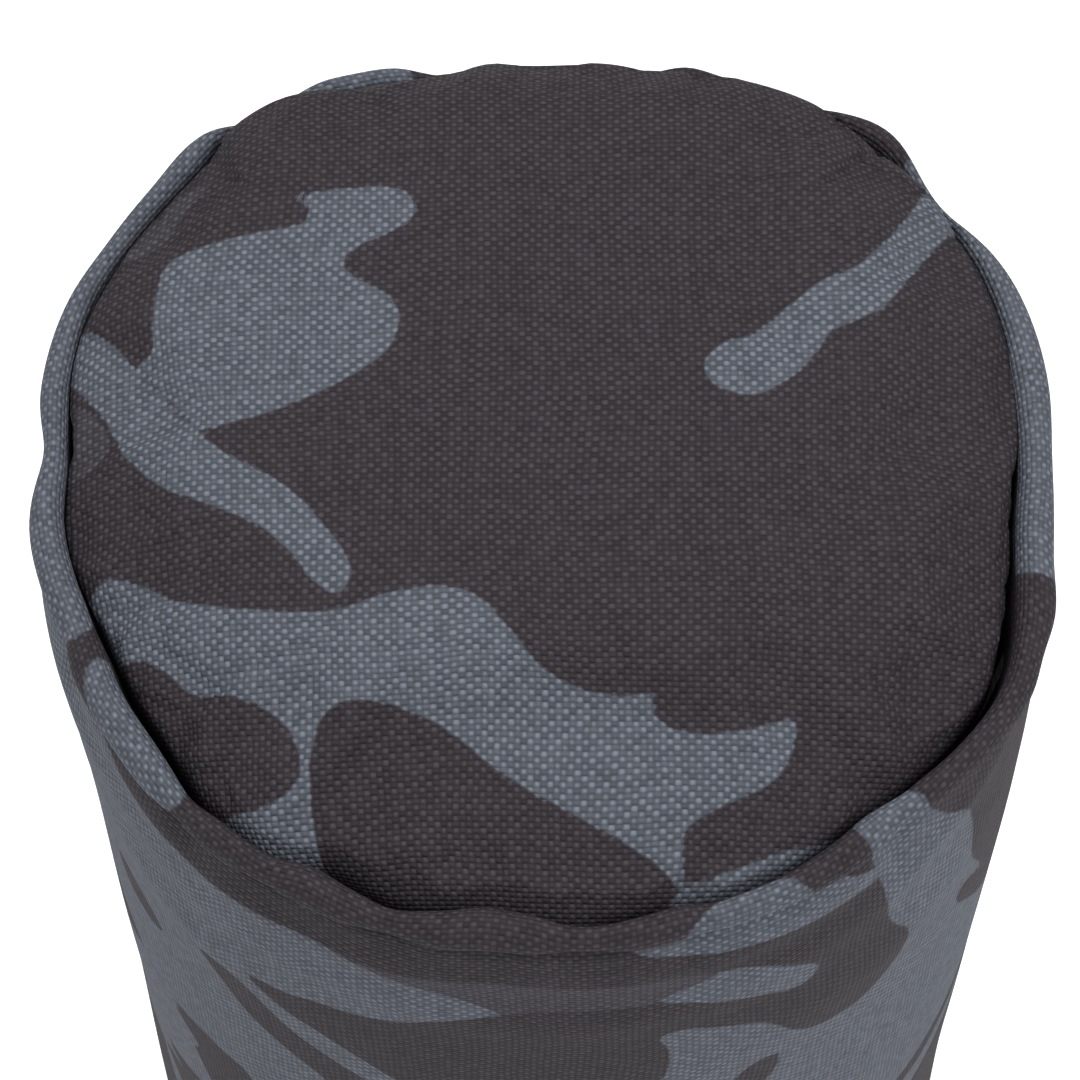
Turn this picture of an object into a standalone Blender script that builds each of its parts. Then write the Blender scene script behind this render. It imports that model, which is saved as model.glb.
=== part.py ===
"""Training bumper: a stuffed, sewn fabric cylinder that stands on one round end.

A tube-shaped sleeve is sewn to a round cap at each end.  Inside are a closed-cell
foam core, a wrap of wadding and a soft pad behind each cap.  At the back, low down,
a folded webbing tab holds a D-ring that swings freely on its straight bar.

Frame: metres, +Z up along the cylinder's axis, origin at the centre of the flat
underside, +Y towards the back, where the lengthwise seam and the tab are.
"""

import math

import bmesh
import bpy

MM = 0.001

# Driving dimensions
LENGTH = 300 * MM            # underside to the crown of the top cap
OUTER_RADIUS = 40 * MM       # over the rolled edge at either end
SLEEVE_RADIUS = 39.2 * MM    # sleeve between the rolled edges
CREASE_RADIUS = 37.1 * MM    # where the cap meets the sleeve
CROWN_RISE = 3.5 * MM        # crown of the top cap above the rolled edge
CREASE_DEPTH = 2.4 * MM      # crease below the rolled edge
CLOTH = 0.7 * MM             # coated polyester of the sleeve and caps
GAP = 0.3 * MM               # between pieces that touch
FOOT_DROP = 3.5 * MM         # where the rolled edge meets the wall, below its top
FOOT_LIFT = 0.3 * MM         # how far the cloth still stands out there
WALL_DROP = 5.5 * MM         # the wall is straight from here down
CROWN_POWER = 2.6            # how flat the crown is in the middle
SHOULDER_POWER = 0.62        # how round its shoulder is
TURNS = 48                   # steps round every turned piece

# Sewn ends
ALLOWANCE = 9 * MM           # seam allowance, turned inside
ALLOWANCE_LEAN = 1 * MM      # how far its raw edge leans towards the axis
BINDING = 0.5 * MM           # tape that binds the two raw edges
BINDING_LEG = 6 * MM
END_THREAD_DROP = 1.6 * MM   # lockstitch below the crease, inside
END_THREAD_RADIUS = 0.25 * MM
PRESSED_RIM = 3.2 * MM       # rounded rim of the base cap, outside its flat face
PRESSED_SHOULDER = (0.6 * MM, 1.2 * MM)   # a point on that rim: inside its edge, above its face

# Filling
CORE_RADIUS = 30 * MM
CORE_EDGE = 4 * MM
FILL_MARGIN = 14 * MM        # core and wadding stop this far from each rolled edge
PAD_RADIUS = 32.5 * MM
PAD_EDGE = 2 * MM            # rounded edge of an end pad
PAD_EDGE_DROP = 0.5 * MM     # its widest point, below the crease
PAD_SINK = 2.2 * MM          # an end pad lies this far behind the face of its cap
CHANNEL_CLEARANCE = 5 * MM   # how far the channel's cutter passes the outside

# Lengthwise seam, at the back
SEAM_HALF_SPACING = 3.5 * MM
SEAM_THREAD_RADIUS = 0.2 * MM
SEAM_THREAD_LIFT = 0.2 * MM
SEAM_TAPE_WIDTH = 20 * MM
SEAM_TAPE = 0.4 * MM
SEAM_END_MARGIN = 7 * MM

# Throw-cord anchor: webbing tab and D-ring
WEB_WIDTH = 25 * MM
WEB = 1.4 * MM
WEB_TOP = 64 * MM
WEB_STANDOFF = 0.9 * MM      # clears the sleeve and the seam's thread
PLY_GAP = 0.2 * MM
RING_WIRE = 1.75 * MM        # radius of the D-ring's wire
RING_AXIS_HEIGHT = 27 * MM
RING_INNER_WIDTH = 25.5 * MM
RING_INNER_DEPTH = 16 * MM
RING_CORNER = 2.5 * MM
SEWN_RISE = 9 * MM           # the sewn part starts this far above the ring's bar
INNER_STEP = 7 * MM          # between points down the inner ply
LEAVE_ANGLE = 405            # degrees round the bar where the outer ply leaves it
LEAVE_REACH = 1.55 * MM      # handles of the outer ply's bend, up from the bar and down from the seam
JOIN_REACH = 3 * MM
PATCH_WIDTH = 30 * MM
PATCH = 0.6 * MM
PATCH_MARGIN = 2 * MM
STITCH_INSET = 3 * MM
STITCH_RADIUS = 0.3 * MM
CROSS_RADIUS = 0.27 * MM     # thread of the cross inside the square

# Derived places
RIDGE_RADIUS = (OUTER_RADIUS - CREASE_RADIUS) / 2
RIDGE_CENTRE = OUTER_RADIUS - RIDGE_RADIUS
TOP_EDGE = LENGTH - CROWN_RISE
TOP_CREASE = TOP_EDGE - CREASE_DEPTH
RAW_EDGE = TOP_CREASE - ALLOWANCE
CAP_RADIUS = CREASE_RADIUS - GAP
LINING_RADIUS = SLEEVE_RADIUS - CLOTH - GAP
PATCH_RADIUS = LINING_RADIUS - SEAM_TAPE - GAP
WEB_PATH_RADIUS = RING_WIRE + GAP + WEB / 2
WEB_INNER_Y = SLEEVE_RADIUS + WEB_STANDOFF + WEB / 2
WEB_OUTER_Y = WEB_INNER_Y + WEB + PLY_GAP
RING_AXIS_Y = WEB_INNER_Y + WEB_PATH_RADIUS
SEWN_FROM = RING_AXIS_HEIGHT + SEWN_RISE

PARTS = "training_bumper"
CUTTERS = "cutters"


def clear_scene():
    for obj in list(bpy.data.objects):
        bpy.data.objects.remove(obj, do_unlink=True)


def collection(name):
    found = bpy.data.collections.get(name)
    if found is None:
        found = bpy.data.collections.new(name)
        bpy.context.scene.collection.children.link(found)
    return found


def material(name, colour, roughness, metallic=0.0):
    mat = bpy.data.materials.new(name)
    mat.use_nodes = True
    shader = mat.node_tree.nodes["Principled BSDF"]
    shader.inputs["Base Color"].default_value = (*colour, 1.0)
    shader.inputs["Roughness"].default_value = roughness
    shader.inputs["Metallic"].default_value = metallic
    mat.diffuse_color = (*colour, 1.0)
    return mat


def add_object(name, data, mat=None, group=PARTS):
    obj = bpy.data.objects.new(name, data)
    collection(group).objects.link(obj)
    if mat is not None:
        data.materials.append(mat)
    return obj


def outline_mesh(name, points, closed=False):
    """A mesh of edges only, through (radius, height) points in the XZ plane."""
    edges = [(i, i + 1) for i in range(len(points) - 1)]
    if closed:
        edges.append((len(points) - 1, 0))
    mesh = bpy.data.meshes.new(name)
    mesh.from_pydata([(r, 0.0, z) for r, z in points], edges, [])
    return mesh


def turn(obj, angle=math.tau, steps=TURNS):
    screw = obj.modifiers.new("turned", "SCREW")
    screw.angle = angle
    screw.steps = steps
    screw.render_steps = steps
    screw.use_merge_vertices = True
    screw.merge_threshold = 0.00001
    screw.use_smooth_shade = True


def thicken(obj, thickness, offset=-1.0):
    solid = obj.modifiers.new("thickness", "SOLIDIFY")
    solid.thickness = thickness
    solid.offset = offset
    solid.use_even_offset = True


def turned_solid(name, outline, mat, closed=False):
    obj = add_object(name, outline_mesh(name, outline, closed), mat)
    turn(obj)
    return obj


def turned_cloth(name, path, thickness, mat):
    """A turned sheet.  The path is its outer face, and the cloth lies inside it."""
    obj = add_object(name, outline_mesh(name, path), mat)
    turn(obj)
    thicken(obj, thickness)
    return obj


def back_strip(name, width, radius, low, high, thickness, mat):
    """A strip of tape that follows the round wall, centred on the back."""
    angle = width / radius
    obj = add_object(name, outline_mesh(name, [(radius, high), (radius, low)]), mat)
    turn(obj, angle, steps=10)
    thicken(obj, thickness)
    obj.rotation_euler.z = math.pi / 2 - angle / 2
    return obj


def wire(name, points, radius, mat, cyclic=False, sides=2):
    """A round wire or thread as a curve with filled ends, through (x, y, z) points."""
    data = bpy.data.curves.new(name, "CURVE")
    data.dimensions = "3D"
    data.bevel_depth = radius
    data.bevel_resolution = sides
    data.use_fill_caps = not cyclic
    spline = data.splines.new("POLY")
    spline.points.add(len(points) - 1)
    for point, (x, y, z) in zip(spline.points, points):
        point.co = (x, y, z, 1.0)
    spline.use_cyclic_u = cyclic
    return add_object(name, data, mat)


def to_mesh(obj, group=PARTS):
    """Replaces a curve by the welded mesh of its surface."""
    graph = bpy.context.evaluated_depsgraph_get()
    mesh = bpy.data.meshes.new_from_object(obj.evaluated_get(graph))
    work = bmesh.new()
    work.from_mesh(mesh)
    bmesh.ops.remove_doubles(work, verts=work.verts, dist=0.00001)
    work.to_mesh(mesh)
    work.free()
    name = obj.name
    place = obj.matrix_world.copy()
    bpy.data.objects.remove(obj, do_unlink=True)
    solid = add_object(name, mesh, group=group)
    solid.matrix_world = place
    return solid


def boolean(obj, cutter, operation):
    step = obj.modifiers.new(cutter.name, "BOOLEAN")
    step.operation = operation
    step.solver = "EXACT"
    step.object = cutter
    cutter.hide_render = True
    cutter.display_type = "WIRE"


def arc(centre, radius, start, end, steps):
    """Points on a circle, with angles in degrees from its first axis to its second."""
    points = []
    for i in range(steps + 1):
        angle = math.radians(start + (end - start) * i / steps)
        across = centre[0] + radius * math.cos(angle)
        up = centre[1] + radius * math.sin(angle)
        points.append((across, up))
    return points


def flip(path):
    """The same path at the base: heights mirrored, and run the other way."""
    return [(r, TOP_EDGE - z) for r, z in reversed(path)]


# Sewn cover


def rolled_edge():
    """Outer face of the sleeve's top edge, from its raw edge inside to the wall."""
    path = [(CREASE_RADIUS - ALLOWANCE_LEAN, RAW_EDGE), (CREASE_RADIUS, TOP_CREASE)]
    path += arc((RIDGE_CENTRE, TOP_EDGE - RIDGE_RADIUS), RIDGE_RADIUS, 180, 0, 6)
    path.append((SLEEVE_RADIUS + FOOT_LIFT, TOP_EDGE - FOOT_DROP))
    path.append((SLEEVE_RADIUS, TOP_EDGE - WALL_DROP))
    return path


def make_sleeve(mat):
    top = rolled_edge()
    turned_cloth("sleeve", top + flip(top), CLOTH, mat)


def cap_raw_edge():
    """The cap's turned-in edge, just inside the sleeve's."""
    return (CAP_RADIUS - ALLOWANCE_LEAN, RAW_EDGE)


def crown(steps=8):
    """The domed face of the top cap, from the centre to the crease."""
    rise = LENGTH - TOP_CREASE
    points = []
    for i in range(steps + 1):
        share = math.sin(math.pi / 2 * i / steps)
        fullness = (1 - share ** CROWN_POWER) ** SHOULDER_POWER
        points.append((CAP_RADIUS * share, TOP_CREASE + rise * fullness))
    return points


def pressed_face():
    """The flat face of the base cap, written as if it were at the top."""
    path = [(0.0, TOP_EDGE), (CAP_RADIUS - PRESSED_RIM, TOP_EDGE)]
    inset, rise = PRESSED_SHOULDER
    path.append((CAP_RADIUS - inset, TOP_EDGE - rise))
    path.append((CAP_RADIUS, TOP_CREASE))
    return path


def make_caps(mat):
    turned_cloth("top_cap", crown() + [cap_raw_edge()], CLOTH, mat)
    turned_cloth("base_cap", flip(pressed_face() + [cap_raw_edge()]), CLOTH, mat)


def make_end_bindings(mat):
    """Tape folded over the two raw edges of each round seam."""
    lean = ALLOWANCE_LEAN / ALLOWANCE * BINDING_LEG
    fold = RAW_EDGE - GAP - BINDING
    inner = CAP_RADIUS - ALLOWANCE_LEAN - CLOTH - GAP - BINDING
    outer = CREASE_RADIUS - ALLOWANCE_LEAN + CLOTH + GAP + BINDING
    path = [(outer + lean, RAW_EDGE + BINDING_LEG), (outer, RAW_EDGE)]
    path += [(outer - BINDING, fold), (inner + BINDING, fold)]
    path += [(inner, RAW_EDGE), (inner + lean, RAW_EDGE + BINDING_LEG)]
    turned_cloth("top_seam_binding", path, BINDING, mat)
    turned_cloth("base_seam_binding", flip(path), BINDING, mat)


def make_end_threads(mat):
    """Rings of lockstitch that join each cap to the sleeve, just inside the crease."""
    lean = ALLOWANCE_LEAN * END_THREAD_DROP / ALLOWANCE
    radius = CAP_RADIUS - lean - CLOTH - GAP - END_THREAD_RADIUS
    top = TOP_CREASE - END_THREAD_DROP
    for name, height in (("top_seam_thread", top), ("base_seam_thread", TOP_EDGE - top)):
        ring = arc((0.0, 0.0), radius, 0, 360 - 360 / TURNS, TURNS - 1)
        points = [(x, y, height) for x, y in ring]
        wire(name, points, END_THREAD_RADIUS, mat, cyclic=True, sides=1)


# Lengthwise seam


def make_side_seam(tape_mat, thread_mat):
    """A tape inside the lengthwise seam, and the two rows of stitching outside it."""
    low = FILL_MARGIN
    high = TOP_EDGE - FILL_MARGIN
    back_strip("side_seam_tape", SEAM_TAPE_WIDTH, LINING_RADIUS, low, high, SEAM_TAPE, tape_mat)
    radius = SLEEVE_RADIUS + SEAM_THREAD_LIFT + SEAM_THREAD_RADIUS
    depth = math.sqrt(radius ** 2 - SEAM_HALF_SPACING ** 2)
    for name, side in (("side_seam_thread_left", 1), ("side_seam_thread_right", -1)):
        x = side * SEAM_HALF_SPACING
        ends = [(x, depth, SEAM_END_MARGIN), (x, depth, TOP_EDGE - SEAM_END_MARGIN)]
        wire(name, ends, SEAM_THREAD_RADIUS, thread_mat)


# Filling


def make_core(mat):
    low = FILL_MARGIN
    high = TOP_EDGE - FILL_MARGIN
    outline = [(0.0, high), (CORE_RADIUS - CORE_EDGE, high), (CORE_RADIUS, high - CORE_EDGE)]
    outline += [(CORE_RADIUS, low + CORE_EDGE), (CORE_RADIUS - CORE_EDGE, low), (0.0, low)]
    turned_solid("foam_core", outline, mat)


def make_wadding(mat):
    """The wadding wrap, with a shallow channel where the seam tape and patch lie."""
    inner = CORE_RADIUS + GAP
    low = FILL_MARGIN
    high = TOP_EDGE - FILL_MARGIN
    outline = [(LINING_RADIUS, high), (LINING_RADIUS, low), (inner, low), (inner, high)]
    wrap = turned_solid("wadding_wrap", outline, mat, closed=True)
    floor = PATCH_RADIUS - PATCH - GAP
    wall = OUTER_RADIUS + CHANNEL_CLEARANCE
    angle = (PATCH_WIDTH + 2 * PATCH_MARGIN) / PATCH_RADIUS
    section = [(wall, LENGTH), (wall, 0.0), (floor, 0.0), (floor, LENGTH)]
    mesh = outline_mesh("seam_channel", section, closed=True)
    channel = add_object("seam_channel", mesh, group=CUTTERS)
    turn(channel, angle, steps=8)
    close_turned_ends(channel)
    channel.rotation_euler.z = math.pi / 2 - angle / 2
    boolean(wrap, channel, "DIFFERENCE")


def close_turned_ends(obj):
    """Makes a part turn of a closed outline solid, by filling its two open ends."""
    graph = bpy.context.evaluated_depsgraph_get()
    mesh = bpy.data.meshes.new_from_object(obj.evaluated_get(graph))
    work = bmesh.new()
    work.from_mesh(mesh)
    bmesh.ops.holes_fill(work, edges=work.edges, sides=4)
    bmesh.ops.recalc_face_normals(work, faces=work.faces)
    work.to_mesh(mesh)
    work.free()
    obj.modifiers.clear()
    obj.data = mesh


def make_end_pads(mat):
    """Soft pads that fill out the caps between the core and the cover."""
    low = TOP_EDGE - FILL_MARGIN + GAP
    side = [(PAD_RADIUS, TOP_CREASE - PAD_EDGE_DROP), (PAD_RADIUS, low), (0.0, low)]
    domed = [(r, z - PAD_SINK) for r, z in crown() if r < PAD_RADIUS - PAD_EDGE]
    turned_solid("top_end_pad", domed + side, mat)
    face = TOP_EDGE - PAD_SINK
    flat = [(0.0, face), (PAD_RADIUS - PRESSED_RIM, face)]
    turned_solid("base_end_pad", flip(flat + side), mat)


# Throw-cord anchor


def wrap_depth(x):
    """How far the round wall falls back at a distance x from the middle of the back."""
    return SLEEVE_RADIUS - math.sqrt(SLEEVE_RADIUS ** 2 - x ** 2)


def wrap_share(z):
    """1 where the webbing is sewn down and follows the wall, 0 where it is straight."""
    share = (z - RING_AXIS_HEIGHT) / (SEWN_FROM - RING_AXIS_HEIGHT)
    share = min(max(share, 0.0), 1.0)
    return share * share * (3 - 2 * share)


def bezier(a, b, c, d, steps):
    """Points after a, up to d, on the cubic curve with handles b and c."""
    points = []
    for i in range(1, steps + 1):
        t = i / steps
        s = 1 - t
        weights = (s ** 3, 3 * s * s * t, 3 * s * t * t, t ** 3)
        across = sum(w * p[0] for w, p in zip(weights, (a, b, c, d)))
        up = sum(w * p[1] for w, p in zip(weights, (a, b, c, d)))
        points.append((across, up))
    return points


def webbing_path():
    """Middle of the folded strip in (y, z): inner ply, round the bar, outer ply."""
    centre = (RING_AXIS_Y, RING_AXIS_HEIGHT)
    path = [(WEB_INNER_Y, WEB_TOP - i * INNER_STEP) for i in range(5)]
    path += arc(centre, WEB_PATH_RADIUS, 180, LEAVE_ANGLE, 14)
    leave = path[-1]
    first = (leave[0] - LEAVE_REACH, leave[1] + LEAVE_REACH)
    last = (WEB_OUTER_Y, SEWN_FROM)
    path += bezier(leave, first, (WEB_OUTER_Y, SEWN_FROM - JOIN_REACH), last, 5)
    path += [(WEB_OUTER_Y, SEWN_FROM + i * (WEB_TOP - SEWN_FROM) / 4) for i in range(1, 5)]
    return path


def make_webbing(mat):
    """A strip folded round the D-ring's bar, and curved to the wall where it is sewn."""
    columns = 8
    work = bmesh.new()
    left = -WEB_WIDTH / 2
    row = [work.verts.new((left, y, z)) for y, z in webbing_path()]
    edges = [work.edges.new(pair) for pair in zip(row, row[1:])]
    for _ in range(columns):
        grown = bmesh.ops.extrude_edge_only(work, edges=edges)["geom"]
        moved = [item for item in grown if isinstance(item, bmesh.types.BMVert)]
        edges = [item for item in grown if isinstance(item, bmesh.types.BMEdge)]
        bmesh.ops.translate(work, verts=moved, vec=(WEB_WIDTH / columns, 0.0, 0.0))
    for vert in work.verts:
        vert.co.y -= wrap_share(vert.co.z) * wrap_depth(vert.co.x)
    mesh = bpy.data.meshes.new("anchor_webbing")
    work.to_mesh(mesh)
    work.free()
    thicken(add_object("anchor_webbing", mesh, mat), WEB, offset=0.0)


def stitch_line(start, end, steps):
    """Points along a straight row of stitches on the outer ply."""
    clear = WEB_OUTER_Y + WEB / 2 + GAP + STITCH_RADIUS
    points = []
    for i in range(steps + 1):
        x = start[0] + (end[0] - start[0]) * i / steps
        z = start[1] + (end[1] - start[1]) * i / steps
        points.append((x, clear - wrap_depth(x), z))
    return points


def make_box_stitch(mat):
    """A square of stitching with a cross in it, which sews the tab to the sleeve."""
    half = WEB_WIDTH / 2 - STITCH_INSET
    low = SEWN_FROM + 2 * MM
    high = WEB_TOP - STITCH_INSET
    corners = [(-half, low), (half, low), (half, high), (-half, high)]
    square = []
    for start, end in zip(corners, corners[1:] + corners[:1]):
        square += stitch_line(start, end, 6)[:-1]
    box = to_mesh(wire("anchor_box_stitch", square, STITCH_RADIUS, None, cyclic=True, sides=1))
    box.data.materials.append(mat)
    for name, start, end in (("rise", corners[0], corners[2]), ("fall", corners[1], corners[3])):
        line = wire(name, stitch_line(start, end, 8), CROSS_RADIUS, None, sides=1)
        boolean(box, to_mesh(line, CUTTERS), "UNION")


def make_d_ring(mat):
    """A wire ring with a straight bar, hanging from its hinge axis along the bar."""
    half = RING_INNER_WIDTH / 2 + RING_WIRE
    depth = RING_INNER_DEPTH + 2 * RING_WIRE - RING_CORNER
    bar_end = half - RING_CORNER
    right = arc((bar_end, -RING_CORNER), RING_CORNER, 90, 0, 4)
    bow = []
    for i in range(1, 20):
        angle = math.pi * i / 20
        bow.append((half * math.cos(angle), -RING_CORNER - depth * math.sin(angle)))
    left = [(-x, z) for x, z in reversed(right)]
    outline = right + bow + left
    ring = wire("d_ring", [(x, 0.0, z) for x, z in outline], RING_WIRE, mat, cyclic=True, sides=3)
    ring.location = (0.0, RING_AXIS_Y, RING_AXIS_HEIGHT)


def make_patch(mat):
    """Cloth behind the tab, inside the sleeve, that spreads the pull of the cord."""
    low = SEWN_FROM - PATCH_MARGIN
    high = WEB_TOP + PATCH_MARGIN
    back_strip("anchor_backing_patch", PATCH_WIDTH, PATCH_RADIUS, low, high, PATCH, mat)


def main():
    clear_scene()
    cloth = material("camouflage_cloth", (0.045, 0.040, 0.046), 0.85)
    tape = material("tape", (0.03, 0.03, 0.032), 0.9)
    thread = material("thread", (0.03, 0.028, 0.032), 0.6)
    webbing = material("webbing", (0.025, 0.024, 0.028), 0.8)
    foam = material("foam", (0.55, 0.55, 0.53), 0.9)
    wadding = material("wadding", (0.80, 0.80, 0.78), 1.0)
    steel = material("steel", (0.55, 0.55, 0.56), 0.3, metallic=1.0)
    make_sleeve(cloth)
    make_caps(cloth)
    make_end_bindings(tape)
    make_end_threads(thread)
    make_side_seam(tape, thread)
    make_core(foam)
    make_wadding(wadding)
    make_end_pads(wadding)
    make_patch(cloth)
    make_webbing(webbing)
    make_box_stitch(thread)
    make_d_ring(steel)


main()
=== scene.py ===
"""Looks of the training bumper: camouflage cloth cover, stitching, webbing tab and D-ring.

Lengths in this script are millimetres until a mesh is made, and metres from there on.
Angles round the bumper are degrees from the front (-Y) towards the right (+X).
"""

import math
import random

import bmesh
import bpy
import numpy as np
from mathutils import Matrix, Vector, noise
from mathutils.bvhtree import BVHTree


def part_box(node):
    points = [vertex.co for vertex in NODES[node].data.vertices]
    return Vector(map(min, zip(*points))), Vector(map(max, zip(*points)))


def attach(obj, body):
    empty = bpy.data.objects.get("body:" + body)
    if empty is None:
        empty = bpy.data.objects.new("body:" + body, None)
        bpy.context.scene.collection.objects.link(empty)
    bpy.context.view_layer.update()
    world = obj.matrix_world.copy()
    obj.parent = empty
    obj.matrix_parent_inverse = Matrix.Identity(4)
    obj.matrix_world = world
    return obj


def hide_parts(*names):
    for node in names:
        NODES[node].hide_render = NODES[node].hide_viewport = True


MM = 0.001

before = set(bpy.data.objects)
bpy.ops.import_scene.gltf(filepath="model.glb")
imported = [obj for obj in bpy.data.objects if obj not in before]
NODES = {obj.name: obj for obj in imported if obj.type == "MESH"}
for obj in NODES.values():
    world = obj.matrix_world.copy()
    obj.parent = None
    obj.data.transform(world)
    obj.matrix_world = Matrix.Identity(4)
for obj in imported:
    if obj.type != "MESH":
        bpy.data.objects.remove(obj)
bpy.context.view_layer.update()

# Sizes taken from the frame
SLEEVE_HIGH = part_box("sleeve")[1]
EDGE_RADIUS = SLEEVE_HIGH.x / MM
TOP_EDGE = SLEEVE_HIGH.z / MM
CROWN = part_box("top_cap")[1].z / MM
WALL_RADIUS = EDGE_RADIUS - 0.8
CLOTH = 0.5
CREASE_DEPTH = 2.4

# Thread spacing of the cloth
THREAD_ACROSS = 0.515
THREAD_ALONG = 0.43

# The round seam at the top isn't a true circle: (angle, radius) of its crease and its rolled edge,
# and (angle, height) of the rolled edge's crest, which the cap pushes down in places at the back
CREASE = (
    (2, 38.2), (6, 38.4), (11, 38.2), (15, 38.0), (18, 38.5), (25, 38.6), (33, 38.2), (40, 37.7),
    (44, 38.3), (51, 38.9), (60, 39.1), (67, 38.1), (74, 37.0), (83, 36.2),
    (100, 36.8), (110, 37.6), (119, 38.2), (126, 38.9), (133, 39.2), (141, 39.0), (148, 39.0),
    (154, 38.5), (160, 37.6), (168, 37.3), (174, 37.3), (180, 36.8), (186, 37.2), (192, 37.0),
    (198, 36.9), (204, 37.5), (209, 38.8), (214, 39.7), (220, 39.5), (226, 38.6), (233, 38.2),
    (241, 38.1), (249, 38.0), (257, 37.6), (269, 36.6), (277, 37.0), (285, 36.8), (293, 36.4),
    (301, 37.0), (309, 37.3), (317, 38.1), (321, 38.2), (328, 38.3), (333, 37.6), (338, 38.1),
    (343, 38.4), (348, 37.9), (353, 37.0), (358, 37.4),
)
EDGE = (
    (0, 40.3), (8, 40.6), (15, 40.5), (30, 40.6), (45, 40.7), (60, 41.4), (70, 40.8), (78, 39.5),
    (88, 39.2), (100, 39.9),
    (112, 40.4), (122, 40.2), (129, 40.4), (137, 41.3), (144, 40.6), (151, 40.2), (161, 39.4),
    (171, 38.8), (180, 38.5), (190, 38.8), (199, 39.4), (207, 40.5), (214, 41.0), (223, 41.2),
    (231, 40.3), (240, 40.2), (250, 40.2), (260, 39.7), (268, 38.9), (278, 39.7), (288, 39.5),
    (305, 39.9), (318, 40.5), (332, 40.5), (345, 40.6),
)
CREST = (
    (0, 0.0), (45, 0.1), (90, 0.0), (112, -0.2), (121, -0.8), (128, -2.6), (136, -0.6), (143, -1.0),
    (151, -3.2), (157, -1.8), (162, -1.4), (168, -3.2), (180, -3.8), (191, -3.1), (198, -1.0),
    (205, -0.9), (214, -3.2), (222, -0.9), (235, -0.3), (270, 0.0), (315, 0.1),
)
# How far the cap stands clear of the crease: (angle, gap)
GAP = (
    (0, 0.7), (8, 1.0), (15, 0.6), (25, 0.3), (40, 0.1), (50, 0.8), (60, 1.0), (72, 0.7),
    (85, 0.3), (110, 0.15), (180, 0.15), (250, 0.15), (275, 0.3), (291, 0.4), (304, 0.9),
    (318, 0.7), (327, 0.4), (335, 1.5), (343, 1.5), (350, 0.9), (356, 0.5),
)

# Where the round seam puckers: (angle, depth, width in degrees)
TOP_PUCKERS = (
    (4, 0.7, 4), (16, 0.4, 2.5), (41, 1.6, 3), (66, 0.9, 3.5), (92, 0.5, 7), (123, 0.7, 4),
    (147, 0.7, 5), (158, 0.5, 4), (167, 0.5, 4), (193, 0.7, 4), (203, 0.5, 4), (215, 0.5, 4),
    (240, 0.4, 5), (268, 0.8, 4), (292, 1.4, 3), (317, 1.2, 3), (329, 0.5, 3), (343, 0.9, 3),
    (354, 0.4, 3),
)
BASE_PUCKERS = tuple((13 + 24 * i + 6 * math.sin(2.3 * i), 0.6, 5) for i in range(15))


def around(angle, centre):
    """Signed difference of two angles in degrees, from -180 to 180."""
    return (np.asarray(angle, float) - centre + 180.0) % 360.0 - 180.0


def pucker(angle, puckers):
    """How deep the cloth puckers at an angle."""
    total = np.zeros_like(np.asarray(angle, float))
    for centre, depth, width in puckers:
        total += depth * np.exp(-((around(angle, centre) / width) ** 2))
    return total


def smooth(x):
    """A soft step from 0 to 1."""
    x = np.clip(x, 0.0, 1.0)
    return x * x * (3.0 - 2.0 * x)


def ring_curve(angle, knots):
    """A smooth closed curve through (angle, radius) knots."""
    knots = sorted(knots)
    angles = np.array([k[0] for k in knots], float)
    radii = np.array([k[1] for k in knots], float)
    angle = np.asarray(angle, float) % 360.0
    angles = np.concatenate((angles[-2:] - 360.0, angles, angles[:2] + 360.0))
    radii = np.concatenate((radii[-2:], radii, radii[:2]))
    i = np.clip(np.searchsorted(angles, angle, side="right") - 1, 1, len(angles) - 3)
    span = angles[i + 1] - angles[i]
    t = (angle - angles[i]) / span
    slope_a = (radii[i + 1] - radii[i - 1]) / (angles[i + 1] - angles[i - 1]) * span
    slope_b = (radii[i + 2] - radii[i]) / (angles[i + 2] - angles[i]) * span
    t2, t3 = t * t, t * t * t
    start = (2 * t3 - 3 * t2 + 1) * radii[i] + (t3 - 2 * t2 + t) * slope_a
    return start + (3 * t2 - 2 * t3) * radii[i + 1] + (t3 - t2) * slope_b


def waves(a, b, scale, seed):
    """A soft random field of two coordinates, from about -1 to 1."""
    pairs = zip(np.ravel(a) / scale, np.ravel(b) / scale)
    values = [noise.noise(Vector((p, q, seed))) for p, q in pairs]
    return np.reshape(values, np.shape(a)) * 1.6


# Camouflage print

CURVE_SAMPLES = 6  # points on an outline for each one given


def blotch(points):
    """A smooth closed outline through given points."""
    p = np.array(points, float)
    t = np.arange(CURVE_SAMPLES)[:, None, None] / CURVE_SAMPLES
    a, b, c, d = (np.roll(p, shift, axis=0)[None] for shift in (1, 0, -1, -2))
    curve = 0.5 * (2 * b + (c - a) * t + (2 * a - 5 * b + 4 * c - d) * t ** 2
                   + (3 * b - a - 3 * c + d) * t ** 3)
    return curve.transpose(1, 0, 2).reshape(-1, 2)


def placed(outline, at, turn, scale, mirror):
    """An outline moved to a place, turned by degrees, scaled and perhaps mirrored."""
    centre = outline.mean(axis=0)
    p = (outline - centre) * scale
    if mirror:
        p = p * (-1, 1)
    a = math.radians(turn)
    spin = np.array(((math.cos(a), math.sin(a)), (-math.sin(a), math.cos(a))))
    return p @ spin + at


FAR = 9.0
REACH = 4.0  # how far outside an outline distances are measured


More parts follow.
